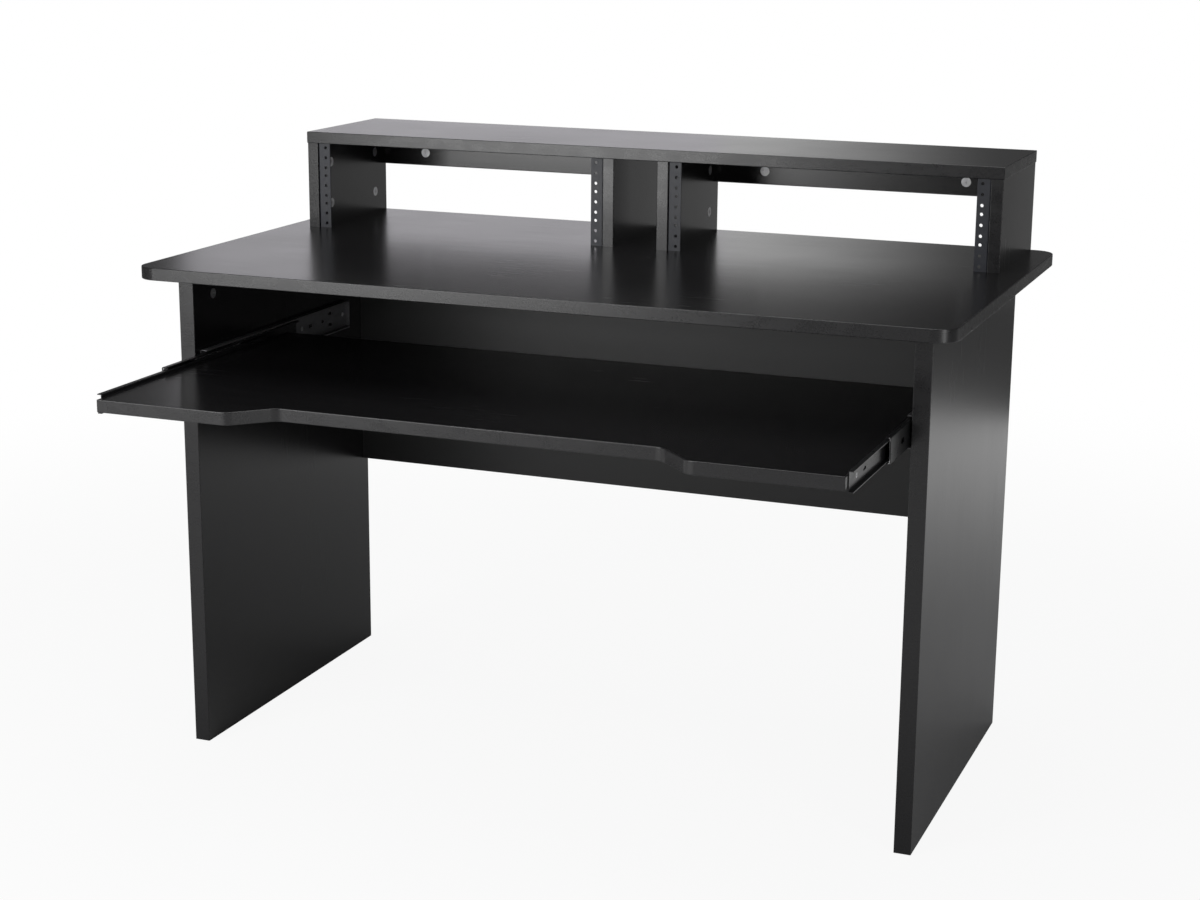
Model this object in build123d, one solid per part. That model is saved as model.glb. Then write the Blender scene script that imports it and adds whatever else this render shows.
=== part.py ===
from build123d import *
import os
from math import sqrt

# Studio desk with a shallow two-bay rack hutch and a pull-out keyboard tray.
# Lengths are millimetres, Z is up, the front of the desk faces -Y.
# The named sizes are set with Y = 0 at the front edges of the side panels;
# shapes are moved on export so that the frame origin sits on the floor in the
# middle of the whole desk with the tray drawn out.

# Boards
boardThick = 18.0
sideThick = 24.0
bandThick = 2.0
bandRound = 1.0

# Rack bays: 19-inch panels, three rack units of clear height
rackUnit = 44.45
rackUnits = 3
rackSlack = 1.15
rackOpening = 450.0
rackHoleEdge = 7.55
unitHoles = (6.35, 22.225, 38.1)

# Rack strips: folded steel angles, tapped for M6, nine holes in three units
stripFlange = 20.0
stripWall = 2.0
stripBend = 0.2
stripRecess = 2.5
stripHoleRadius = 2.5
stripScrewInset = 22.0

# Hutch, desktop and side panels
centreBay = 70.0
hutchDepth = 240.0
shelfOverhang = 1.0
railDrop = 55.0
deskPastHutch = 39.0
deskPastSides = 40.0
deskPastFront = 56.0
deskPastBack = 99.0
deskCorner = 32.0
legHeight = 720.0
legDepth = 541.0
backPanelHeight = 395.0

# Keyboard tray
trayDrawn = 274.0
trayClosedFront = 0.0
trayBackGap = 3.0
trayBelowDesk = 134.5
recessFromLeft = 200.0
recessFromRight = 200.0
recessDepth = 50.0
recessRun = 50.0
recessRound = 22.0

# Three-part ball-bearing slides, measured from the side panel towards the tray
slideThick = 13.0
slideWall = 1.2
slideBend = 1.4
cabinetFront = 15.0
cabinetLength = 450.0
cabinetHalf = 22.5
cabinetMouth = 9.7
middleWeb = 3.0
middleMouth = 10.2
middleHalf = 18.1
middleLength = 390.0
middleClosedFront = 42.0
drawerHalf = 13.7
drawerMouth = 6.0
drawerSetback = 12.0
drawerLength = 450.0
lipThick = 0.8
lipRise = 0.8
ballRadius = 1.5
ballPitch = 12.0
ballCount = 11
cageWall = 0.6
cageMargin = 8.0
outerCageStart = 95.0
innerCageStart = -12.0
outerBallOut = 6.5
innerBallOut = 7.8
outerCageWeb = 1.8
innerCageWeb = 4.8
outerCageReach = 2.2
innerCageReach = 1.9
pairSlot = 12.0
pairSlotWide = 4.5
pairSlotHeight = 9.0
windowLong = 12.0
windowHigh = 6.0
roundHole = 6.0
roundHoleLong = 9.0
stopSlotLong = 16.0
stopSlotHigh = 7.0
railHoleLong = 11.0
railHoleHigh = 9.0
drawerSlot = 14.0
endTabInset = 3.0
clipLong = 11.0
clipFlange = 2.2
clipKnobOut = 5.5
clipKnobHigh = 1.5
clipWall = 0.7
clipGap = 0.1
clipKnob = 1.6

# Fittings
fitGap = 0.05
camRadius = 7.5
camEdge = 34.0
camBelowAxis = 3.5
camSlot = 7.0
camSlotWidth = 1.4
camSlotDeep = 2.2
boltBore = 4.0
boltShank = 3.2
boltNeck = 2.0
boltThread = 2.5
boltThreadLength = 11.0
boltHeadLength = 3.5
camPocket = 3.6
dowelRadius = 4.0
dowelShort = 12.0
dowelLong = 18.0
screwRadius = 1.7
screwHead = 3.5
screwLength = 15.0
screwHeadDeep = 1.9
crossLong = 3.6
crossWide = 0.8
crossDeep = 1.0

# Where the fittings sit, from the ends and edges of what they join, and the
# places of slots as shares of a slide member's length
legCamInset = 56.0
legDowelInset = 150.0
hutchCamFront = 44.0
hutchCamBack = 41.0
railCamInset = 83.5
panelCamLow = 65.0
panelCamHigh = 80.0
panelDowelLow = 125.0
panelDowelHigh = 140.0
cabinetScrewFront = 25.0
cabinetScrewRear = 9.0
cabinetScrewShares = (0.0, 0.33, 0.67, 1.0)
drawerScrewInset = 35.0
drawerScrewShares = (0.0, 0.5, 1.0)
pairSlotShares = (0.15, 0.45, 0.885)
windowShare = 0.725
roundHoleShare = 0.83
stopSlotShares = (0.16, 0.85)
railHoleShares = (0.31, 0.64)
drawerSlotShares = (0.16, 0.42, 0.66, 0.84)

# Worked out from the named sizes
bayWidth = rackOpening + 2 * stripFlange
stripHoleInset = stripFlange - rackHoleEdge
dividerFace = centreBay / 2 + boardThick
hutchInner = dividerFace + bayWidth
hutchOuter = hutchInner + boardThick
deskWidth = 2 * (hutchOuter + deskPastHutch)
legsWidth = deskWidth - 2 * deskPastSides
deskFront = -deskPastFront
deskBack = legDepth + deskPastBack
hutchFront = deskBack - hutchDepth
deskTop = legHeight + boardThick
hutchHeight = rackUnit * rackUnits + rackSlack
shelfUnder = deskTop + hutchHeight
shelfTop = shelfUnder + boardThick
legInner = legsWidth / 2 - sideThick
stripFace = hutchFront + stripRecess
stripScrewY = stripFace + (stripFlange + stripWall) / 2
backPanelFront = legDepth - boardThick
backPanelBottom = legHeight - backPanelHeight
trayFront = trayClosedFront - trayDrawn
trayDepth = backPanelFront - trayBackGap - trayClosedFront
trayHalf = legInner - slideThick
trayMiddle = legHeight - trayBelowDesk
trayTop = trayMiddle + boardThick / 2
recessLeft = recessFromLeft - trayHalf
recessRight = trayHalf - recessFromRight
middleFront = middleClosedFront - trayDrawn / 2
drawerFront = trayFront + drawerSetback
legCamYs = (legCamInset, legDepth - legCamInset)
legDowelYs = (legDowelInset, legDepth - legDowelInset)
hutchCamYs = (hutchFront + hutchCamFront, deskBack - hutchCamBack)
hutchDowelY = (hutchCamYs[0] + hutchCamYs[1]) / 2
panelCamHeights = (backPanelBottom + panelCamLow, legHeight - panelCamHigh)
panelDowelHeights = (backPanelBottom + panelDowelLow, legHeight - panelDowelHigh)
panelTopCamXs = (-legInner / 2, legInner / 2)
stripScrewHeights = (stripScrewInset, hutchHeight / 2, hutchHeight - stripScrewInset)
cabinetScrewRun = cabinetLength - cabinetScrewFront - cabinetScrewRear
drawerScrewRun = drawerLength - 2 * drawerScrewInset
cabinetScrewYs = [cabinetScrewFront + share * cabinetScrewRun for share in cabinetScrewShares]
drawerScrewYs = [drawerScrewInset + share * drawerScrewRun for share in drawerScrewShares]
frameMiddle = (trayFront + deskBack) / 2


def block(x0, x1, y0, y1, z0, z1):
    size = Box(abs(x1 - x0), abs(y1 - y0), abs(z1 - z0))
    return Pos((x0 + x1) / 2, (y0 + y1) / 2, (z0 + z1) / 2) * size


def mirrored(shape):
    return mirror(shape, about=Plane.YZ)


def save(shape, node):
    export_step(Pos(0, -frameMiddle, 0) * shape, "parts/" + node + ".step")


def rod(at, along, start, end, radius):
    side = Vector(0, 0, 1) if abs(Vector(along).Z) < 0.5 else Vector(0, 1, 0)
    spot = Plane(origin=at, x_dir=side, z_dir=along).location
    return spot * Pos(0, 0, (start + end) / 2) * Cylinder(radius, end - start)


# Cam fittings. A cam sits in the face of one board and draws a bolt that is
# screwed into the next board; out is the face normal, along points to that
# next board, at is on the face over the cam's centre.
def cam_axis(at, out, thick):
    return Vector(at) - Vector(out) * (thick / 2)


def cam_cuts(at, out, along, thick):
    deep = thick / 2 + camBelowAxis
    seat = rod(at, out, -deep, 1.0, camRadius + fitGap)
    return seat + rod(cam_axis(at, out, thick), along, 0, camEdge, boltBore)


def bolt_cut(at, out, along, thick):
    start = camEdge - 1.0
    end = camEdge + boltThreadLength
    return rod(cam_axis(at, out, thick), along, start, end, boltThread + fitGap)


def cam_lock(at, out, along, thick):
    deep = thick / 2 + camBelowAxis
    spot = Plane(origin=at, x_dir=along, z_dir=out).location
    body = Pos(0, 0, -deep / 2) * Cylinder(camRadius, deep)
    pocket = Rot(0, 90, 0) * Cylinder(camPocket, camRadius + 3.0)
    pocket = Pos(camRadius / 2 - 1.0, 0, -thick / 2) * pocket
    driver = Box(camSlot, camSlotWidth, 2 * camSlotDeep)
    driver = driver + Box(camSlotWidth, camSlot, 2 * camSlotDeep)
    return spot * (body - pocket - driver)


def cam_bolt(at, out, along, thick):
    axis = cam_axis(at, out, thick)
    neckStart = boltHeadLength - 1.0
    neckEnd = camRadius + 1.0
    head = rod(axis, along, -1.0, neckStart, boltShank)
    neck = rod(axis, along, neckStart, neckEnd, boltNeck)
    shank = rod(axis, along, neckEnd, camEdge, boltShank)
    thread = rod(axis, along, camEdge, camEdge + boltThreadLength, boltThread)
    return head + neck + shank + thread


# Each entry holds the face point, face normal, bolt direction and board thickness
def leg_cams():
    top = legHeight - camEdge
    spots = []
    for y in legCamYs:
        spots.append(((-legInner, y, top), (1, 0, 0), (0, 0, 1), sideThick))
        spots.append(((legInner, y, top), (-1, 0, 0), (0, 0, 1), sideThick))
    return spots


def panel_side_cams():
    spots = []
    for side in (-1, 1):
        for z in panelCamHeights:
            at = (side * (legInner - camEdge), legDepth, z)
            spots.append((at, (0, 1, 0), (side, 0, 0), boardThick))
    return spots


def panel_top_cams():
    top = legHeight - camEdge
    return [((x, legDepth, top), (0, 1, 0), (0, 0, 1), boardThick) for x in panelTopCamXs]


def hutch_cams(face, side, up):
    z = shelfUnder - camEdge if up else deskTop + camEdge
    way = (0, 0, 1) if up else (0, 0, -1)
    return [((face, y, z), (side, 0, 0), way, boardThick) for y in hutchCamYs]


def rail_cams(side):
    z = shelfUnder - camEdge
    face = deskBack - boardThick
    near = side * (dividerFace + railCamInset)
    far = side * (hutchInner - railCamInset)
    return [((x, face, z), (0, -1, 0), (0, 0, 1), boardThick) for x in (near, far)]


# The faces of the four hutch uprights that look into a rack bay
hutchFaces = ((-hutchInner, 1), (-dividerFace, -1), (dividerFace, 1), (hutchInner, -1))


# Dowels: at on the joint plane, along into the board with the long hole
def leg_dowels(side):
    x = side * (legsWidth / 2 - sideThick / 2)
    return [((x, y, legHeight), (0, 0, -1)) for y in legDowelYs]


def panel_dowels(side):
    y = legDepth - boardThick / 2
    return [((side * legInner, y, z), (-side, 0, 0)) for z in panelDowelHeights]


def hutch_dowels(face, side):
    x = face - side * boardThick / 2
    return [((x, hutchDowelY, deskTop), (0, 0, 1)), ((x, hutchDowelY, shelfUnder), (0, 0, -1))]


def dowel(at, along):
    return rod(at, along, -dowelShort, dowelLong, dowelRadius - fitGap)


def dowel_cut(at, along):
    return rod(at, along, -dowelShort, dowelLong, dowelRadius)


def drilled(board, cams=(), bolts=(), dowels=()):
    for spot in cams:
        board = board - cam_cuts(*spot)
    for spot in bolts:
        board = board - bolt_cut(*spot)
    for spot in dowels:
        board = board - dowel_cut(*spot)
    return board


def outer_edges(shape, z0, z1):
    edges = shape.edges().filter_by_position(Axis.Z, z1 - 0.01, z1 + 0.01)
    return edges + shape.edges().filter_by_position(Axis.Z, z0 - 0.01, z0 + 0.01)


# Solid of an outline with its top and bottom arrises eased, less the core
def banded(outline, core, z0, z1):
    whole = Pos(0, 0, z0) * extrude(outline, z1 - z0)
    whole = fillet(outer_edges(whole, z0, z1), bandRound)
    inner = Pos(0, 0, z0 - 1) * extrude(core, z1 - z0 + 2)
    return whole - inner


toFront = Axis((0, 0, 0), (0, -1, 0))
toFloor = Axis((0, 0, 0), (0, 0, -1))


# A straight edge strip with two long arrises eased on the side it faces
def edge_strip(x0, x1, y0, y1, z0, z1, axis, facing):
    strip = block(x0, x1, y0, y1, z0, z1)
    outside = strip.faces().sort_by(facing)[-1]
    return fillet(outside.edges().filter_by(axis), bandRound)


# Desktop
def desk_outline(inset):
    wide = deskWidth - 2 * inset
    deep = deskBack - deskFront - 2 * inset
    return Pos(0, (deskFront + deskBack) / 2) * RectangleRounded(wide, deep, deskCorner - inset)


def make_desktop():
    board = Pos(0, 0, legHeight) * extrude(desk_outline(bandThick), boardThick)
    bolts = leg_cams() + panel_top_cams()
    dowels = leg_dowels(-1) + leg_dowels(1)
    for face, side in hutchFaces:
        bolts = bolts + hutch_cams(face, side, False)
        dowels = dowels + hutch_dowels(face, side)[:1]
    save(drilled(board, bolts=bolts, dowels=dowels), "desktop_board")
    band = banded(desk_outline(0), desk_outline(bandThick), legHeight, deskTop)
    save(band, "desktop_edge_band")


# Side panels and back panel
def make_legs():
    left = block(-legsWidth / 2, -legInner, bandThick, legDepth - bandThick, 0, legHeight)
    cams = [spot for spot in leg_cams() if spot[0][0] < 0]
    bolts = [spot for spot in panel_side_cams() if spot[0][0] < 0]
    dowels = leg_dowels(-1) + panel_dowels(-1)
    left = drilled(left, cams=cams, bolts=bolts, dowels=dowels)
    for y in cabinetScrewYs:
        at = (-legInner, cabinetFront + y, trayMiddle)
        left = left - screw_hole(at, (-1, 0, 0), screwLength - slideWall)
    save(left, "left_side_panel")
    save(mirrored(left), "right_side_panel")
    outer = -legsWidth / 2
    front = edge_strip(outer, -legInner, 0, bandThick, 0, legHeight, Axis.Z, toFront)
    rearStart = legDepth - bandThick
    rear = edge_strip(outer, -legInner, rearStart, legDepth, 0, legHeight, Axis.Z, Axis.Y)
    save(Compound([front, rear, mirrored(front), mirrored(rear)]), "side_panel_edge_bands")


def make_back_panel():
    panel = block(-legInner, legInner, backPanelFront, legDepth, backPanelBottom + bandThick, legHeight)
    cams = panel_side_cams() + panel_top_cams()
    panel = drilled(panel, cams=cams, dowels=panel_dowels(-1) + panel_dowels(1))
    save(panel, "back_panel")
    strip = edge_strip(-legInner, legInner, backPanelFront, legDepth, backPanelBottom,
                       backPanelBottom + bandThick, Axis.X, toFloor)
    save(strip, "back_panel_edge_band")


# Hutch shelf, uprights and rear rails
def shelf_outline(inset):
    wide = 2 * (hutchOuter + shelfOverhang - inset)
    deep = deskBack - hutchFront - 2 * inset
    return Pos(0, (hutchFront + deskBack) / 2) * Rectangle(wide, deep)


def make_shelf():
    board = Pos(0, 0, shelfUnder) * extrude(shelf_outline(bandThick), boardThick)
    bolts = rail_cams(-1) + rail_cams(1)
    dowels = []
    for face, side in hutchFaces:
        bolts = bolts + hutch_cams(face, side, True)
        dowels = dowels + hutch_dowels(face, side)[1:]
    save(drilled(board, bolts=bolts, dowels=dowels), "hutch_shelf_board")
    band = banded(shelf_outline(0), shelf_outline(bandThick), shelfUnder, shelfTop)
    save(band, "hutch_shelf_edge_band")


def make_uprights():
    names = ("hutch_left_panel", "hutch_left_divider", "hutch_right_divider", "hutch_right_panel")
    railY = deskBack - boardThick / 2
    railZ = shelfUnder - railDrop / 2
    bands = []
    for name, (face, side) in zip(names, hutchFaces):
        hidden = face - side * boardThick
        panel = block(face, hidden, hutchFront + bandThick, deskBack - bandThick, deskTop, shelfUnder)
        cams = hutch_cams(face, side, True) + hutch_cams(face, side, False)
        railDowel = [((face, railY, railZ), (side, 0, 0))]
        panel = drilled(panel, cams=cams, dowels=hutch_dowels(face, side) + railDowel)
        for z in stripScrewHeights:
            at = (face, stripScrewY, deskTop + z)
            panel = panel - screw_hole(at, (-side, 0, 0), screwLength - stripWall)
        save(panel, name)
        for y0, facing in ((hutchFront, toFront), (deskBack - bandThick, Axis.Y)):
            y1 = y0 + bandThick
            band = edge_strip(face, hidden, y0, y1, deskTop, shelfUnder, Axis.Z, facing)
            bands.append(band)
    save(Compound(bands), "hutch_panel_edge_bands")


def make_rails():
    bands = []
    for name, side in (("left_rear_rail", -1), ("right_rear_rail", 1)):
        x0 = side * dividerFace
        x1 = side * hutchInner
        y0 = deskBack - boardThick
        z0 = shelfUnder - railDrop
        rail = block(x0, x1, y0, deskBack, z0 + bandThick, shelfUnder)
        middle = (y0 + deskBack) / 2
        height = z0 + railDrop / 2
        ends = [((x0, middle, height), (side, 0, 0)), ((x1, middle, height), (-side, 0, 0))]
        save(drilled(rail, cams=rail_cams(side), dowels=ends), name)
        bands.append(edge_strip(x0, x1, y0, deskBack, z0, z0 + bandThick, Axis.X, toFloor))
    save(Compound(bands), "rear_rail_edge_bands")


# Rack strips
def make_strips():
    names = ("left_outer", "left_inner", "right_inner", "right_outer")
    start = deskTop + rackSlack / 2
    middle = deskTop + hutchHeight / 2
    tip = stripFace + stripWall
    rear = stripFace + stripFlange
    screws = []
    for name, (face, side) in zip(names, hutchFaces):
        edge = face + side * stripFlange
        flange = block(face, edge, stripFace, tip, deskTop, shelfUnder)
        web = block(face, face + side * stripWall, stripFace, rear, deskTop, shelfUnder)
        strip = flange + web
        corner = (face, stripFace, middle)
        bend = strip.edges().filter_by(Axis.Z).sort_by_distance(corner)[:1]
        strip = fillet(bend, stripWall - stripBend)
        for unit in range(rackUnits):
            for hole in unitHoles:
                at = (face + side * stripHoleInset, stripFace, start + unit * rackUnit + hole)
                strip = strip - rod(at, (0, 1, 0), -1, stripWall + 1, stripHoleRadius)
        for z in stripScrewHeights:
            at = (face + side * stripWall, stripScrewY, deskTop + z)
            strip = strip - screw_cut(at, (-side, 0, 0))
            screws.append(screw(at, (-side, 0, 0)))
        save(strip, "rack_strip_" + name)
    save(Compound(screws), "rack_strip_screws")


# Countersunk wood screws, with at on the steel's outer face and along into the wood
def screw(at, along):
    spot = Plane(origin=at, z_dir=along).location
    cone = Pos(0, 0, screwHeadDeep / 2) * Cone(screwHead, screwRadius, screwHeadDeep)
    driver = Box(crossLong, crossWide, 2 * crossDeep)
    driver = driver + Box(crossWide, crossLong, 2 * crossDeep)
    body = cone + rod((0, 0, 0), (0, 0, 1), screwHeadDeep / 2, screwLength, screwRadius)
    return spot * (body - driver)


def screw_cut(at, along):
    spot = Plane(origin=at, z_dir=along).location
    cone = Cone(screwHead + fitGap, screwRadius + fitGap, screwHeadDeep)
    cone = Pos(0, 0, screwHeadDeep / 2) * cone
    return spot * (cone + rod((0, 0, 0), (0, 0, 1), 0, screwLength, screwRadius + fitGap))


def screw_hole(face, along, length):
    steel = screwLength - length
    at = Vector(face) - Vector(along) * steel
    return screw_cut(at, along)


# Keyboard tray with the wide recess in its front edge. An inset outline keeps
# the same distance from the outer one on the slopes and round the bends.
def tray_outline(inset):
    left = -trayHalf + inset
    right = trayHalf - inset
    front = trayFront + inset
    back = trayFront + trayDepth - inset
    deep = trayFront + recessDepth + inset
    slope = recessRun / recessDepth
    lean = inset * (sqrt(1 + slope * slope) - slope)
    recessStart = recessLeft - lean
    recessEnd = recessRight + lean
    points = [
        (left, front),
        (recessStart, front),
        (recessStart + recessRun, deep),
        (recessEnd - recessRun, deep),
        (recessEnd, front),
        (right, front),
        (right, back),
        (left, back),
    ]
    face = make_face(Polyline(points, close=True))
    inner = [v for v in face.vertices() if left + 1.0 < v.X < right - 1.0]
    face = fillet([v for v in inner if v.Y > front + 1.0], recessRound + inset)
    inner = [v for v in face.vertices() if left + 1.0 < v.X < right - 1.0]
    return fillet([v for v in inner if v.Y < front + 0.1], recessRound - inset)


def make_tray():
    low = trayTop - boardThick
    board = Pos(0, 0, low) * extrude(tray_outline(bandThick), boardThick)
    band = banded(tray_outline(0), tray_outline(bandThick), low, trayTop)
    for y in drawerScrewYs:
        for side in (-1, 1):
            at = (side * trayHalf, drawerFront + y, trayMiddle)
            hole = screw_hole(at, (-side, 0, 0), screwLength - slideWall)
            board = board - hole
            band = band - hole
    save(board, "tray_board")
    save(band, "tray_edge_band")


# Slide members. The left slide is drawn and mirrored; u runs from the face of
# the side panel towards the tray.
def u_block(u0, u1, y0, y1, z0, z1):
    return block(-legInner + u0, -legInner + u1, y0, y1, trayMiddle + z0, trayMiddle + z1)


def channel(web, mouth, half, y0, y1):
    step = slideWall if mouth > web else -slideWall
    outer = u_block(web, mouth, y0, y1, -half, half)
    outerX = -legInner + web
    bends = [e for e in outer.edges().filter_by(Axis.Y) if abs(e.center().X - outerX) < 0.01]
    outer = fillet(bends, slideBend)
    over = 1.0 if mouth > web else -1.0
    inner = u_block(web + step, mouth + over, y0 - 1, y1 + 1, -half + slideWall, half - slideWall)
    return outer - inner


def lips(mouth, into, half, y0, y1):
    wall = half - slideWall
    upper = u_block(mouth, mouth + into, y0, y1, wall - lipRise, wall + 0.2)
    lower = u_block(mouth, mouth + into, y0, y1, -wall - 0.2, -wall + lipRise)
    return upper + lower


def slot(u, y, z, length, high):
    run = length - high
    shape = Box(4 * slideWall, run, high)
    for end in (-run / 2, run / 2):
        shape = shape + Pos(0, end, 0) * Rot(0, 90, 0) * Cylinder(high / 2, 4 * slideWall)
    return Pos(-legInner + u, y, trayMiddle + z) * shape


def cabinet_member():
    y0 = cabinetFront
    y1 = cabinetFront + cabinetLength
    member = channel(0, cabinetMouth, cabinetHalf, y0, y1)
    member = member + lips(cabinetMouth, -lipThick, cabinetHalf, y0, y1)
    tab = cabinetHalf - endTabInset
    member = member + u_block(0.2, cabinetMouth, y1 - slideWall, y1, -tab, tab)
    for y in cabinetScrewYs:
        at = (-legInner + slideWall, y0 + y, trayMiddle)
        member = member - screw_cut(at, (-1, 0, 0))
    middle = slideWall / 2
    for share in pairSlotShares:
        for z in (-pairSlotHeight, pairSlotHeight):
            y = y0 + share * cabinetLength
            member = member - slot(middle, y, z, pairSlot, pairSlotWide)
    window = y0 + windowShare * cabinetLength
    half = windowHigh / 2
    member = member - u_block(-1, 3, window, window + windowLong, -half, half)
    y = y0 + roundHoleShare * cabinetLength
    return member - slot(middle, y, 0, roundHoleLong, roundHole)


def middle_member():
    y0 = middleFront
    y1 = middleFront + middleLength
    member = channel(middleWeb, middleMouth, middleHalf, y0, y1)
    member = member + lips(middleMouth, -lipThick, middleHalf, y0, y1)
    middle = middleWeb + slideWall / 2
    for share in stopSlotShares:
        y = y0 + share * middleLength
        member = member - slot(middle, y, 0, stopSlotLong, stopSlotHigh)
    for share in railHoleShares:
        y = y0 + share * middleLength
        member = member - slot(middle, y, 0, railHoleLong, railHoleHigh)
    return member


# Bright spring clip in the mouth of the middle member. It is a U that lies on
# the web and flanges, with two pressed knobs, and keeps the inner balls in.
def front_clip():
    y0 = middleFront + 1.0
    y1 = y0 + clipLong
    web = middleWeb + slideWall
    half = middleHalf - slideWall - clipGap
    clip = u_block(web, web + clipWall, y0, y1, -half, half)
    for side in (-1, 1):
        leg = u_block(web, web + clipFlange, y0, y1, side * half, side * (half - clipWall))
        centre = (-legInner + web, y0 + clipLong / 2, trayMiddle + side * clipKnobOut)
        clip = clip + leg + rod(centre, (1, 0, 0), 0, clipKnobHigh, clipKnob)
    return clip


def drawer_member():
    y0 = drawerFront
    y1 = drawerFront + drawerLength
    member = channel(slideThick, drawerMouth, drawerHalf, y0, y1)
    for y in drawerScrewYs:
        at = (-legInner + slideThick - slideWall, y0 + y, trayMiddle)
        member = member - screw_cut(at, (1, 0, 0))
    for share in drawerSlotShares:
        y = y0 + share * drawerLength
        member = member - slot(slideThick - slideWall / 2, y, 0, drawerSlot, pairSlotWide)
    return member


def ball_centres(start, out, height):
    spots = []
    for i in range(ballCount):
        for s in (-1, 1):
            spots.append((-legInner + out, start + i * ballPitch, trayMiddle + s * height))
    return spots


def cage(start, web, reach, out, height):
    y0 = start - cageMargin
    y1 = start + (ballCount - 1) * ballPitch + cageMargin
    half = cageWall / 2
    shape = u_block(web, web + cageWall, y0, y1, -height - half, height + half)
    for z in (-height, height):
        shape = shape + u_block(web, out + reach, y0, y1, z - half, z + half)
    for spot in ball_centres(start, out, height):
        shape = shape - Pos(spot) * Cylinder(ballRadius + fitGap, 2.0)
    return shape


def balls(start, out, height):
    return Compound([Pos(spot) * Sphere(ballRadius) for spot in ball_centres(start, out, height)])


def make_slides():
    outerHeight = (cabinetHalf - slideWall + middleHalf) / 2
    innerHeight = (middleHalf - slideWall + drawerHalf) / 2
    outer = (outerCageStart, outerBallOut, outerHeight)
    inner = (innerCageStart, innerBallOut, innerHeight)
    members = {
        "slide_cabinet_member": cabinet_member(),
        "slide_middle_member": middle_member(),
        "slide_drawer_member": drawer_member(),
        "slide_front_clip": front_clip(),
        "slide_outer_cage": cage(outer[0], outerCageWeb, outerCageReach, outer[1], outer[2]),
        "slide_outer_balls": balls(*outer),
        "slide_inner_cage": cage(inner[0], innerCageWeb, innerCageReach, inner[1], inner[2]),
        "slide_inner_balls": balls(*inner),
    }
    for name, shape in members.items():
        save(shape, "left_" + name)
        save(mirrored(shape), "right_" + name)
    fixed = []
    for y in cabinetScrewYs:
        fixed.append(screw((-legInner + slideWall, cabinetFront + y, trayMiddle), (-1, 0, 0)))
    save(Compound(fixed + [mirrored(one) for one in fixed]), "cabinet_member_screws")
    moving = []
    for y in drawerScrewYs:
        moving.append(screw((-trayHalf - slideWall, drawerFront + y, trayMiddle), (1, 0, 0)))
    save(Compound(moving + [mirrored(one) for one in moving]), "drawer_member_screws")


# Loose fittings gathered by kind
def make_fittings():
    spots = leg_cams() + panel_side_cams() + panel_top_cams() + rail_cams(-1) + rail_cams(1)
    pegs = leg_dowels(-1) + leg_dowels(1) + panel_dowels(-1) + panel_dowels(1)
    railY = deskBack - boardThick / 2
    railZ = shelfUnder - railDrop / 2
    for face, side in hutchFaces:
        spots = spots + hutch_cams(face, side, True) + hutch_cams(face, side, False)
        pegs = pegs + hutch_dowels(face, side) + [((face, railY, railZ), (side, 0, 0))]
    save(Compound([cam_lock(*spot) for spot in spots]), "cam_locks")
    save(Compound([cam_bolt(*spot) for spot in spots]), "cam_bolts")
    save(Compound([dowel(*peg) for peg in pegs]), "dowels")


os.makedirs("parts", exist_ok=True)
make_desktop()
make_legs()
make_back_panel()
make_shelf()
make_uprights()
make_rails()
make_strips()
make_tray()
make_slides()
make_fittings()
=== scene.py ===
import bpy
from math import pi
from mathutils import Euler, Matrix, Vector

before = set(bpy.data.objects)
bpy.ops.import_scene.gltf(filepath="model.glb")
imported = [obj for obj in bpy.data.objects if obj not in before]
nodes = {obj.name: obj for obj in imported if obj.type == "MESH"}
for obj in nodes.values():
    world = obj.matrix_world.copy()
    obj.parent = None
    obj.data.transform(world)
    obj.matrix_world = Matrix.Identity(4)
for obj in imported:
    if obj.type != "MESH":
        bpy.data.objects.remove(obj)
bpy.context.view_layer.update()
print("frame loaded", len(nodes), "nodes")


# material helpers
def newMaterial(name):
    material = bpy.data.materials.new(name)
    material.use_nodes = True
    tree = material.node_tree
    shader = tree.nodes["Principled BSDF"]
    return material, tree, shader


def addNode(tree, kind, **settings):
    node = tree.nodes.new(kind)
    for key, value in settings.items():
        setattr(node, key, value)
    return node


def noiseField(tree, stretch, detail, rough, offset=(0.0, 0.0, 0.0)):
    # noise in object space, in cells per metre along each axis
    coords = addNode(tree, "ShaderNodeTexCoord")
    mapping = addNode(tree, "ShaderNodeMapping")
    mapping.inputs["Scale"].default_value = stretch
    mapping.inputs["Location"].default_value = offset
    noise = addNode(tree, "ShaderNodeTexNoise")
    noise.inputs["Scale"].default_value = 1.0
    noise.inputs["Detail"].default_value = detail
    noise.inputs["Roughness"].default_value = rough
    tree.links.new(coords.outputs["Object"], mapping.inputs["Vector"])
    tree.links.new(mapping.outputs["Vector"], noise.inputs["Vector"])
    return noise.outputs["Fac"]


def ramp(tree, source, stops, dark, light):
    # dark up to the first stop, light from the second
    node = addNode(tree, "ShaderNodeValToRGB")
    for element, place, colour in zip(node.color_ramp.elements, stops, (dark, light)):
        element.position = place
        element.color = (*colour, 1)
    tree.links.new(source, node.inputs["Fac"])
    return node.outputs["Color"]


def remap(tree, source, low, high, fromLow=0.3, fromHigh=0.7):
    # noise lies mostly between 0.3 and 0.7, so that range is spread from low to high
    node = addNode(tree, "ShaderNodeMapRange")
    node.inputs["From Min"].default_value = fromLow
    node.inputs["From Max"].default_value = fromHigh
    node.inputs["To Min"].default_value = low
    node.inputs["To Max"].default_value = high
    tree.links.new(source, node.inputs["Value"])
    return node.outputs["Result"]


def combine(tree, first, second, how="ADD"):
    node = addNode(tree, "ShaderNodeMath", operation=how)
    tree.links.new(first, node.inputs[0])
    tree.links.new(second, node.inputs[1])
    return node.outputs["Value"]


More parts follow.
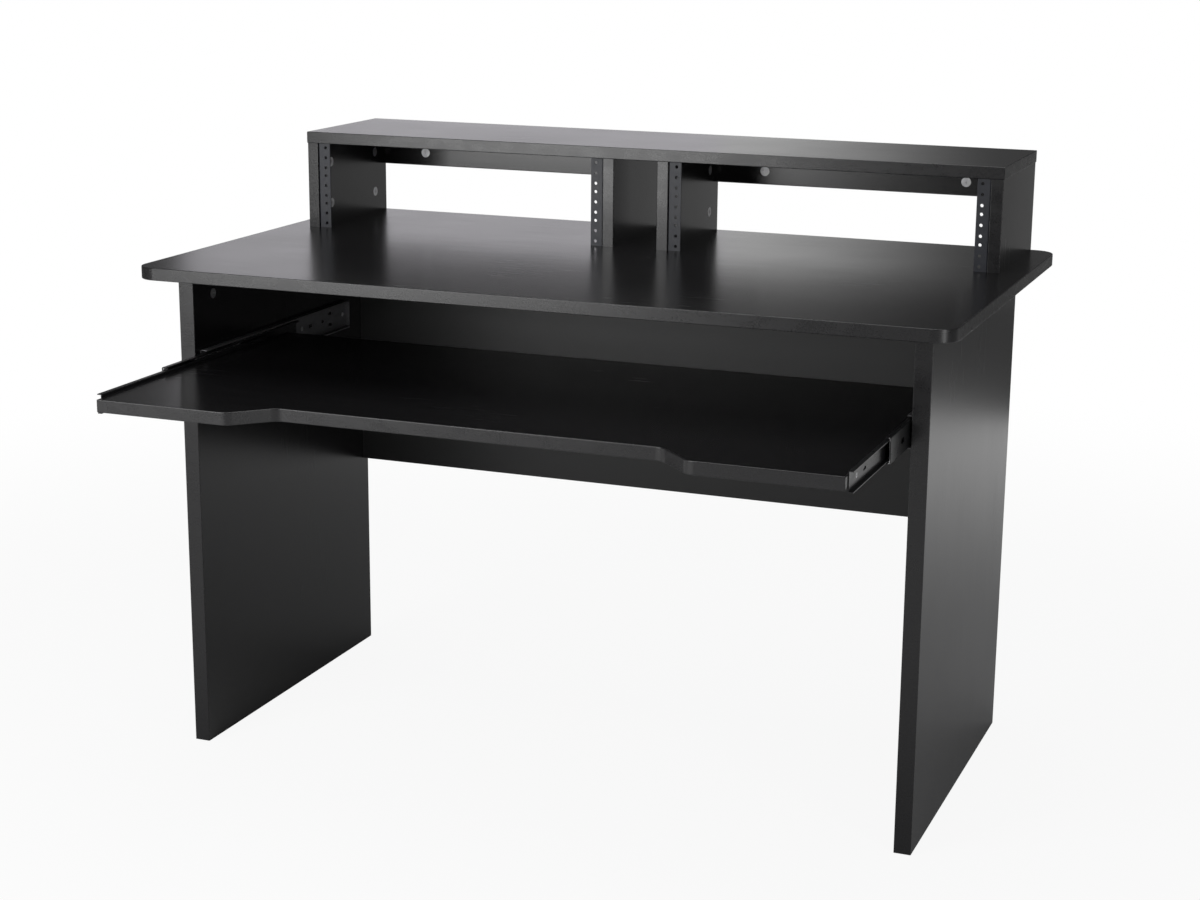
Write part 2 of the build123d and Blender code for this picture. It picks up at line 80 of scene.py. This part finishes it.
def bump(tree, source, strength, distance, under=None):
    # distance is the relief's height in metres
    node = addNode(tree, "ShaderNodeBump")
    node.inputs["Strength"].default_value = strength
    node.inputs["Distance"].default_value = distance
    tree.links.new(source, node.inputs["Height"])
    if under is not None:
        tree.links.new(under, node.inputs["Normal"])
    return node.outputs["Normal"]


def plainMaterial(name):
    # an empty tree with its output, for floor and cloths
    material = bpy.data.materials.new(name)
    material.use_nodes = True
    tree = material.node_tree
    tree.nodes.clear()
    output = addNode(tree, "ShaderNodeOutputMaterial")
    return material, tree, output


def whiteGlow(tree):
    glow = addNode(tree, "ShaderNodeEmission")
    glow.inputs["Color"].default_value = (1, 1, 1, 1)
    return glow


def dress(names, material):
    for name in names:
        mesh = nodes[name].data
        if not mesh.materials:
            mesh.materials.append(material)
        for index in range(len(mesh.materials)):
            mesh.materials[index] = material


# black melamine boards, fine grain running along one axis
boards = {
    "dark": (0.0034, 0.0033, 0.0036),
    "light": (0.0064, 0.0061, 0.0067),
    "stops": (0.36, 0.68),
    "streaksAlong": 7.0,
    "streaksAcross": 520.0,
    "poresAlong": 60.0,
    "poresAcross": 1144.0,
    "clouds": (5.0, 5.0, 5.0),
    "rough": (0.23, 0.265),
    "cloudRough": (-0.01, 0.015),
    "bump": 0.016,
    "relief": 0.0002,
    "ior": 1.5,
}


def boardMaterial(name, axis):
    material, tree, shader = newMaterial(name)
    fine = [boards["streaksAcross"]] * 3
    fine[axis] = boards["streaksAlong"]
    pores = [boards["poresAcross"]] * 3
    pores[axis] = boards["poresAlong"]
    streaks = noiseField(tree, fine, detail=4.0, rough=0.6)
    pits = noiseField(tree, pores, detail=2.0, rough=0.5, offset=(3.1, 1.7, 0.4))
    clouds = noiseField(tree, boards["clouds"], detail=2.0, rough=0.5, offset=(0.3, 0.9, 2.0))
    colour = ramp(tree, streaks, boards["stops"], boards["dark"], boards["light"])
    streakRough = remap(tree, streaks, *boards["rough"])
    cloudRough = remap(tree, clouds, *boards["cloudRough"])
    rough = combine(tree, streakRough, cloudRough)
    normal = bump(tree, streaks, boards["bump"], boards["relief"])
    normal = bump(tree, pits, boards["bump"], boards["relief"], normal)
    tree.links.new(colour, shader.inputs["Base Color"])
    tree.links.new(rough, shader.inputs["Roughness"])
    tree.links.new(normal, shader.inputs["Normal"])
    shader.inputs["IOR"].default_value = boards["ior"]
    return material


lyingBoards = [
    "desktop_board",
    "hutch_shelf_board",
    "tray_board",
    "left_rear_rail",
    "right_rear_rail",
]
uprightBoards = [
    "left_side_panel",
    "right_side_panel",
    "hutch_left_panel",
    "hutch_left_divider",
    "hutch_right_divider",
    "hutch_right_panel",
]
dress(lyingBoards, boardMaterial("melamineAlongX", 0))
dress(uprightBoards, boardMaterial("melamineAlongZ", 2))
print("boards done")

# back panel, fine pearl texture
backPanel = {
    "dark": (0.003, 0.0029, 0.0031),
    "light": (0.011, 0.0107, 0.0112),
    "stops": (0.35, 0.7),
    "grain": 900.0,
    "rough": (0.31, 0.42),
    "bump": 0.25,
    "relief": 0.0003,
}


def pearlMaterial(name):
    material, tree, shader = newMaterial(name)
    speckle = noiseField(tree, [backPanel["grain"]] * 3, detail=2.0, rough=0.6)
    colour = ramp(tree, speckle, backPanel["stops"], backPanel["dark"], backPanel["light"])
    tree.links.new(colour, shader.inputs["Base Color"])
    tree.links.new(remap(tree, speckle, *backPanel["rough"]), shader.inputs["Roughness"])
    normal = bump(tree, speckle, backPanel["bump"], backPanel["relief"])
    tree.links.new(normal, shader.inputs["Normal"])
    return material


dress(["back_panel"], pearlMaterial("melaminePearl"))

# edge bands, charcoal plastic with a faint print
edgeBand = {
    "dark": (0.0050, 0.0048, 0.0053),
    "light": (0.012, 0.0116, 0.0125),
    "stops": (0.33, 0.7),
    "print": (700.0, 700.0, 900.0),
    "smudge": (30.0, 30.0, 60.0),
    "rough": (0.24, 0.32),
    "smudgeRough": (-0.03, 0.04),
    "bump": 0.12,
    "relief": 0.0003,
}


def bandMaterial(name):
    material, tree, shader = newMaterial(name)
    pattern = noiseField(tree, edgeBand["print"], detail=4.0, rough=0.65)
    smudge = noiseField(tree, edgeBand["smudge"], detail=3.0, rough=0.5, offset=(1.0, 2.0, 3.0))
    colour = ramp(tree, pattern, edgeBand["stops"], edgeBand["dark"], edgeBand["light"])
    printRough = remap(tree, pattern, *edgeBand["rough"])
    smudgeRough = remap(tree, smudge, *edgeBand["smudgeRough"])
    tree.links.new(colour, shader.inputs["Base Color"])
    tree.links.new(combine(tree, printRough, smudgeRough), shader.inputs["Roughness"])
    normal = bump(tree, pattern, edgeBand["bump"], edgeBand["relief"])
    tree.links.new(normal, shader.inputs["Normal"])
    return material


bandNames = [
    "desktop_edge_band",
    "hutch_shelf_edge_band",
    "tray_edge_band",
    "side_panel_edge_bands",
    "back_panel_edge_band",
    "hutch_panel_edge_bands",
    "rear_rail_edge_bands",
]
dress(bandNames, bandMaterial("edgeBand"))
print("edge bands done")

# metal finishes of the strips, slides and fittings
metals = {
    "rackCoat": {  # rack strips
        "dark": (0.006, 0.007, 0.011),
        "light": (0.013, 0.015, 0.022),
        "rough": (0.42, 0.55),
        "metal": 0.0,
        "grain": 1400.0,
        "bump": 0.25,
    },
    "blackCoat": {  # moving slide members
        "dark": (0.006, 0.006, 0.0065),
        "light": (0.013, 0.013, 0.014),
        "rough": (0.24, 0.36),
        "metal": 0.2,
        "grain": 700.0,
        "bump": 0.05,
    },
    # cabinet members: the black slide coat painted a lighter grey, painted light standing for the
    # light that falls on their rear ends
    "paintedLitSlideCoat": {  # cabinet members
        "dark": (0.07, 0.07, 0.073),
        "light": (0.12, 0.12, 0.125),
        "rough": (0.34, 0.46),
        "metal": 0.4,
        "grain": 700.0,
        "bump": 0.05,
    },
    "brightSteel": {  # balls and spring clips
        "dark": (0.80, 0.80, 0.81),
        "light": (0.90, 0.90, 0.91),
        "rough": (0.14, 0.24),
        "metal": 0.6,
        "grain": 500.0,
        "bump": 0.03,
    },
    "cageSteel": {  # ball cages
        "dark": (0.34, 0.34, 0.35),
        "light": (0.52, 0.52, 0.53),
        "rough": (0.25, 0.4),
        "metal": 1.0,
        "grain": 500.0,
        "bump": 0.08,
    },
    "castZinc": {  # cams, bolts and screws
        "dark": (0.42, 0.42, 0.43),
        "light": (0.62, 0.62, 0.63),
        "rough": (0.3, 0.4),
        "metal": 0.85,
        "grain": 900.0,
        "bump": 0.05,
    },
}
metalStops = (0.1, 0.9)
metalWear = (90.0, 40.0, 90.0)
metalRelief = 0.0002


def metalMaterial(name):
    spec = metals[name]
    material, tree, shader = newMaterial(name)
    grain = noiseField(tree, [spec["grain"]] * 3, detail=3.0, rough=0.6)
    wear = noiseField(tree, metalWear, detail=3.0, rough=0.6, offset=(2.0, 0.5, 1.0))
    grainHalf = remap(tree, grain, 0.0, 0.5)
    wearHalf = remap(tree, wear, 0.0, 0.5)
    mixed = combine(tree, grainHalf, wearHalf)
    colour = ramp(tree, mixed, metalStops, spec["dark"], spec["light"])
    rough = remap(tree, mixed, *spec["rough"], 0.0, 1.0)
    tree.links.new(colour, shader.inputs["Base Color"])
    tree.links.new(rough, shader.inputs["Roughness"])
    tree.links.new(bump(tree, grain, spec["bump"], metalRelief), shader.inputs["Normal"])
    shader.inputs["Metallic"].default_value = spec["metal"]
    return material


metalParts = {
    "rackCoat": [
        "rack_strip_left_outer",
        "rack_strip_left_inner",
        "rack_strip_right_inner",
        "rack_strip_right_outer",
    ],
    "castZinc": [
        "cam_locks",
        "cam_bolts",
        "rack_strip_screws",
        "cabinet_member_screws",
        "drawer_member_screws",
    ],
}
slideParts = {
    "blackCoat": ("middle_member", "drawer_member"),
    # the cabinet members take the lighter grey copy of the black coat, which is painted light
    "paintedLitSlideCoat": ("cabinet_member",),
    "brightSteel": ("outer_balls", "inner_balls", "front_clip"),
    "cageSteel": ("outer_cage", "inner_cage"),
}
for finish, parts in slideParts.items():
    metalParts[finish] = [f"{side}_slide_{part}" for side in ("left", "right") for part in parts]
for finish, names in metalParts.items():
    dress(names, metalMaterial(finish))
print("metal done")

# beech dowels
dowelWood = {
    "dark": (0.42, 0.27, 0.14),
    "light": (0.62, 0.43, 0.25),
    "stops": (0.35, 0.65),
    "fibres": (400.0, 400.0, 60.0),
    "rough": (0.55, 0.7),
    "bump": 0.3,
    "relief": 0.0003,
}


def beechMaterial(name):
    material, tree, shader = newMaterial(name)
    fibres = noiseField(tree, dowelWood["fibres"], detail=4.0, rough=0.6)
    colour = ramp(tree, fibres, dowelWood["stops"], dowelWood["dark"], dowelWood["light"])
    tree.links.new(colour, shader.inputs["Base Color"])
    tree.links.new(remap(tree, fibres, *dowelWood["rough"]), shader.inputs["Roughness"])
    normal = bump(tree, fibres, dowelWood["bump"], dowelWood["relief"])
    tree.links.new(normal, shader.inputs["Normal"])
    return material


dress(["dowels"], beechMaterial("beech"))
print("dowels done")

# floor, white with the shadow kept; the glow grows to full white from near to far
floorPlan = {
    "size": 14.0,
    "drop": 0.0002,
    "white": 0.48,
    "glowToCamera": 0.92,
    "glowInGloss": 0.03,
    "nearFade": 1.0,
    "farFade": 2.8,
}


def rayKinds(tree):
    # camera rays, and the gloss and see-through rays that show the same background
    path = addNode(tree, "ShaderNodeLightPath")
    glossy = path.outputs["Is Glossy Ray"]
    through = path.outputs["Is Transmission Ray"]
    return path.outputs["Is Camera Ray"], combine(tree, glossy, through, "MAXIMUM")


def fadeOut(tree, distance, nearValue):
    fade = addNode(tree, "ShaderNodeMapRange", interpolation_type="SMOOTHSTEP")
    fade.inputs["From Min"].default_value = floorPlan["nearFade"]
    fade.inputs["From Max"].default_value = floorPlan["farFade"]
    fade.inputs["To Min"].default_value = nearValue
    fade.inputs["To Max"].default_value = 1.0
    tree.links.new(distance, fade.inputs["Value"])
    return fade.outputs["Result"]


def floorMaterial(name):
    material, tree, output = plainMaterial(name)
    white = floorPlan["white"]
    paper = addNode(tree, "ShaderNodeBsdfDiffuse")
    paper.inputs["Color"].default_value = (white, white, white, 1)
    glow = whiteGlow(tree)
    geometry = addNode(tree, "ShaderNodeNewGeometry")
    length = addNode(tree, "ShaderNodeVectorMath", operation="LENGTH")
    tree.links.new(geometry.outputs["Position"], length.inputs[0])
    toCamera, mirrored = rayKinds(tree)
    reach = length.outputs["Value"]
    cameraGlow = fadeOut(tree, reach, floorPlan["glowToCamera"])
    glossGlow = fadeOut(tree, reach, floorPlan["glowInGloss"])
    cameraShare = combine(tree, cameraGlow, toCamera, "MULTIPLY")
    glossShare = combine(tree, glossGlow, mirrored, "MULTIPLY")
    share = combine(tree, cameraShare, glossShare, "MAXIMUM")
    mix = addNode(tree, "ShaderNodeMixShader")
    tree.links.new(share, mix.inputs["Fac"])
    tree.links.new(paper.outputs["BSDF"], mix.inputs[1])
    tree.links.new(glow.outputs["Emission"], mix.inputs[2])
    tree.links.new(mix.outputs["Shader"], output.inputs["Surface"])
    return material


def sheetObject(name, quads, material):
    # one mesh of separate four-cornered sheets
    points = [point for quad in quads for point in quad]
    faces = [tuple(range(4 * index, 4 * index + 4)) for index in range(len(quads))]
    mesh = bpy.data.meshes.new(name)
    mesh.from_pydata(points, [], faces)
    mesh.materials.append(material)
    sheets = bpy.data.objects.new(name, mesh)
    bpy.context.scene.collection.objects.link(sheets)
    return sheets


def stagePlane(name, size, material):
    half = size / 2
    corners = [(-half, -half, 0), (half, -half, 0), (half, half, 0), (-half, half, 0)]
    plane = sheetObject(name, [corners], material)
    return plane


floor = stagePlane("floor", floorPlan["size"], floorMaterial("floorPaper"))
floor.location.z = -floorPlan["drop"]
print("floor done")

# cloths round the stage that only gloss sees: dark walls with a white opening behind on
# the left, a fade at the opening's right side and a pale strip low behind on the right
cloths = {
    "openLevel": 1.0,
    "darkLevel": 0.10,
    "paleLevel": 0.42,
    "left": -3.4,
    "right": 3.0,
    "front": -3.4,
    "back": 2.45,
    "top": 3.4,
    "openLeft": -2.2,
    "openRight": -0.6,
    "openTop": 1.62,
    "fadeRight": 0.14,
    "paleLeft": -0.2,
    "paleRight": 0.88,
    "paleLow": 0.3,
    "paleTop": 0.85,
}


def clothMaterial(name, level, fadeFrom):
    material, tree, output = plainMaterial(name)
    glow = whiteGlow(tree)
    glow.inputs["Strength"].default_value = level
    if fadeFrom is not None:
        geometry = addNode(tree, "ShaderNodeNewGeometry")
        place = addNode(tree, "ShaderNodeSeparateXYZ")
        fade = addNode(tree, "ShaderNodeMapRange", interpolation_type="SMOOTHSTEP")
        fade.inputs["From Min"].default_value = cloths["openRight"]
        fade.inputs["From Max"].default_value = cloths["fadeRight"]
        fade.inputs["To Min"].default_value = fadeFrom
        fade.inputs["To Max"].default_value = level
        tree.links.new(geometry.outputs["Position"], place.inputs["Vector"])
        tree.links.new(place.outputs["X"], fade.inputs["Value"])
        tree.links.new(fade.outputs["Result"], glow.inputs["Strength"])
    tree.links.new(glow.outputs["Emission"], output.inputs["Surface"])
    return material


def hangCloth(name, level, quads, fadeFrom=None):
    cloth = sheetObject(name, quads, clothMaterial(name, level, fadeFrom))
    cloth.visible_camera = False
    cloth.visible_diffuse = False
    cloth.visible_shadow = False


def rearQuad(x0, x1, z0, z1):
    back = cloths["back"]
    return [(x0, back, z0), (x1, back, z0), (x1, back, z1), (x0, back, z1)]


def darkQuads():
    left = cloths["left"]
    right = cloths["right"]
    front = cloths["front"]
    back = cloths["back"]
    top = cloths["top"]
    openTop = cloths["openTop"]
    paleTop = cloths["paleTop"]
    quads = [
        rearQuad(left, cloths["openLeft"], 0, openTop),
        rearQuad(cloths["fadeRight"], right, paleTop, openTop),
        rearQuad(cloths["paleLeft"], cloths["paleRight"], 0, cloths["paleLow"]),
        rearQuad(cloths["paleRight"], right, 0, paleTop),
        rearQuad(left, right, openTop, top),
    ]
    for x in (left, right):
        quads.append([(x, front, 0), (x, back, 0), (x, back, top), (x, front, top)])
    quads.append([(left, front, 0), (right, front, 0), (right, front, top), (left, front, top)])
    quads.append([(left, front, top), (right, front, top), (right, back, top), (left, back, top)])
    return quads


fadeQuads = [
    rearQuad(cloths["openRight"], cloths["fadeRight"], cloths["paleTop"], cloths["openTop"]),
    rearQuad(cloths["openRight"], cloths["paleLeft"], 0, cloths["paleTop"]),
]
paleQuads = [
    rearQuad(cloths["paleLeft"], cloths["paleRight"], cloths["paleLow"], cloths["paleTop"]),
]
hangCloth("darkCloths", cloths["darkLevel"], darkQuads())
hangCloth("fadeCloth", cloths["darkLevel"], fadeQuads, cloths["openLevel"])
hangCloth("paleCloth", cloths["paleLevel"], paleQuads)
print("cloths done")

# world, white where it is seen and a plain grey fill for the rest
worldPlan = {
    "fill": 0.28,
    "fillTint": (0.97, 0.98, 1.0),
    "seen": 1.0,
    "seenTint": (1.0, 1.0, 1.0),
    "glossTint": (0.97, 0.95, 1.0),
}


def worldMaterial():
    world = bpy.data.worlds.new("studio")
    bpy.context.scene.world = world
    world.use_nodes = True
    tree = world.node_tree
    tree.nodes.clear()
    output = addNode(tree, "ShaderNodeOutputWorld")
    fill = addNode(tree, "ShaderNodeBackground")
    fill.inputs["Color"].default_value = (*worldPlan["fillTint"], 1)
    fill.inputs["Strength"].default_value = worldPlan["fill"]
    seen = addNode(tree, "ShaderNodeBackground")
    seen.inputs["Strength"].default_value = worldPlan["seen"]
    tinted = addNode(tree, "ShaderNodeMix", data_type="RGBA")
    tinted.inputs["A"].default_value = (*worldPlan["glossTint"], 1)
    tinted.inputs["B"].default_value = (*worldPlan["seenTint"], 1)
    mix = addNode(tree, "ShaderNodeMixShader")
    toCamera, mirrored = rayKinds(tree)
    tree.links.new(toCamera, tinted.inputs["Factor"])
    tree.links.new(tinted.outputs["Result"], seen.inputs["Color"])
    tree.links.new(combine(tree, toCamera, mirrored, "MAXIMUM"), mix.inputs["Fac"])
    tree.links.new(fill.outputs["Background"], mix.inputs[1])
    tree.links.new(seen.outputs["Background"], mix.inputs[2])
    tree.links.new(mix.outputs["Shader"], output.inputs["Surface"])


worldMaterial()

# soft boxes, with power in watts
lamps = {
    "topBox": {
        "place": (-0.1, 0.2, 3.0),
        "aim": (0, 0.2, 0.4),
        "size": (2.4, 1.6),
        "power": 38,
    },
    "leftBox": {
        "place": (-0.85, -1.6, 1.15),
        "aim": (-0.1, 0.1, 0.85),
        "size": (1.05, 1.4),
        "power": 29,
    },
    "rightBox": {
        "place": (2.2, -1.5, 1.0),
        "aim": (0.5, 0, 0.6),
        "size": (0.5, 1.3),
        "power": 17,
    },
}


def hangLamp(name, spec):
    data = bpy.data.lights.new(name, "AREA")
    data.shape = "RECTANGLE"
    data.size = spec["size"][0]
    data.size_y = spec["size"][1]
    data.energy = spec["power"]
    lamp = bpy.data.objects.new(name, data)
    bpy.context.scene.collection.objects.link(lamp)
    lamp.location = spec["place"]
    away = lamp.location - Vector(spec["aim"])
    lamp.rotation_euler = away.to_track_quat("Z", "Y").to_euler()


for name, spec in lamps.items():
    hangLamp(name, spec)
print("lights done")

# camera, solved from the desk's edges in the photograph
shot = {
    "place": (1.1815, -2.9463, 1.2675),
    "pitch": 0.24598,
    "yaw": 0.3723,
    "roll": 0.008,
    "lens": 66.78,
    "sensor": 36.0,
}
camera = bpy.data.objects.new("camera", bpy.data.cameras.new("camera"))
bpy.context.scene.collection.objects.link(camera)
camera.data.sensor_width = shot["sensor"]
camera.data.lens = shot["lens"]
stand = Matrix.Translation(shot["place"])
aim = Euler((pi / 2 - shot["pitch"], 0, shot["yaw"]), "XYZ").to_matrix().to_4x4()
lean = Matrix.Rotation(shot["roll"], 4, "Z")
camera.matrix_world = stand @ aim @ lean
bpy.context.scene.camera = camera
bpy.context.scene.view_settings.view_transform = "Standard"

print("camera done")
